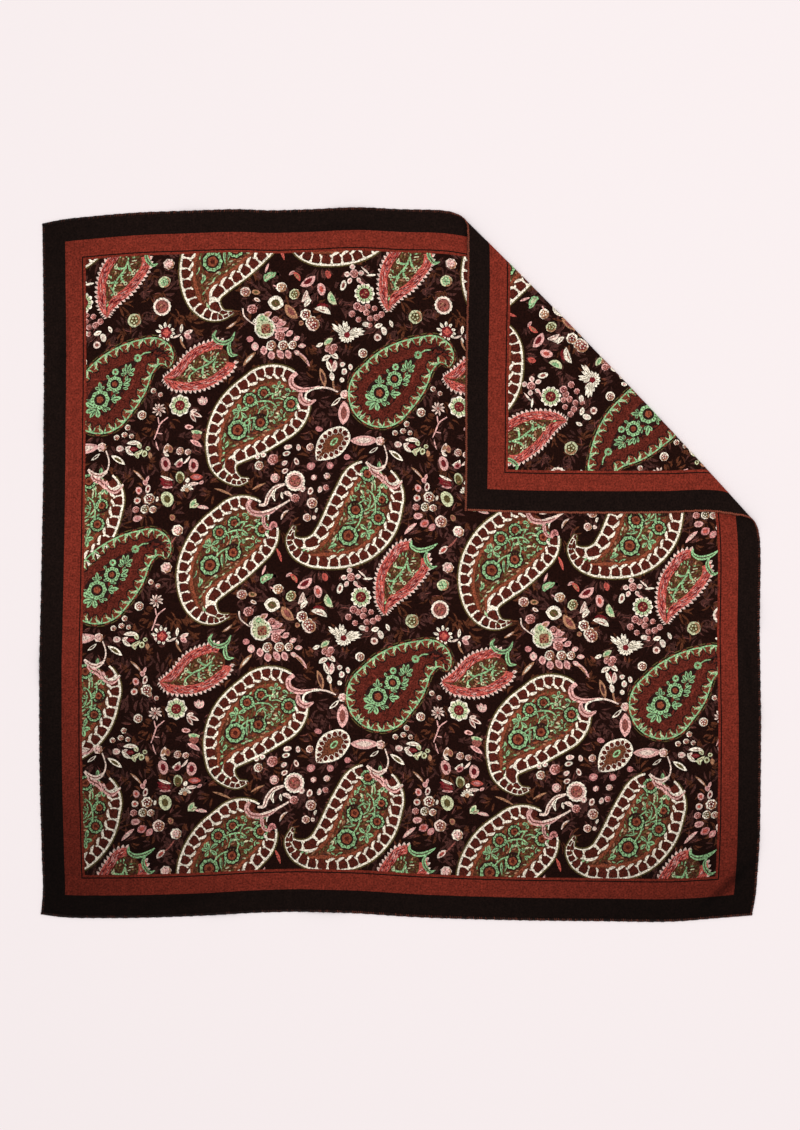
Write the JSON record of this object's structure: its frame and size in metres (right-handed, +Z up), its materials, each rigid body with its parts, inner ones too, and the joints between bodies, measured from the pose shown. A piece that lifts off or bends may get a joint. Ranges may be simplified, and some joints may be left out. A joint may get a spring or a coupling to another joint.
{
  "type": "square scarf",
  "caption": "Square printed scarf in dark paisley crepe with rust and black borders, laid flat with one corner turned over; it is worn at the neck or head.",
  "frame": {"origin": "middle of the scarf's outline on the surface that it lies on", "axes": "+Z up out of the cloth, +X to the right and +Y to the top of the scarf as seen from above, with the turned corner at +X +Y"},
  "size_m": [0.722, 0.7146, 0.006],
  "materials": {
    "printed_crepe": "fine polyester crepe, screen printed with paisley between rust and black borders, slight sheen",
    "hem_thread": "rust overlocking thread, matt"
  },
  "bodies": {
    "root": {"scarf_panel": "printed_crepe", "hem_top": "hem_thread", "hem_right": "hem_thread", "hem_bottom": "hem_thread", "hem_left": "hem_thread"}
  },
  "joints": []
}
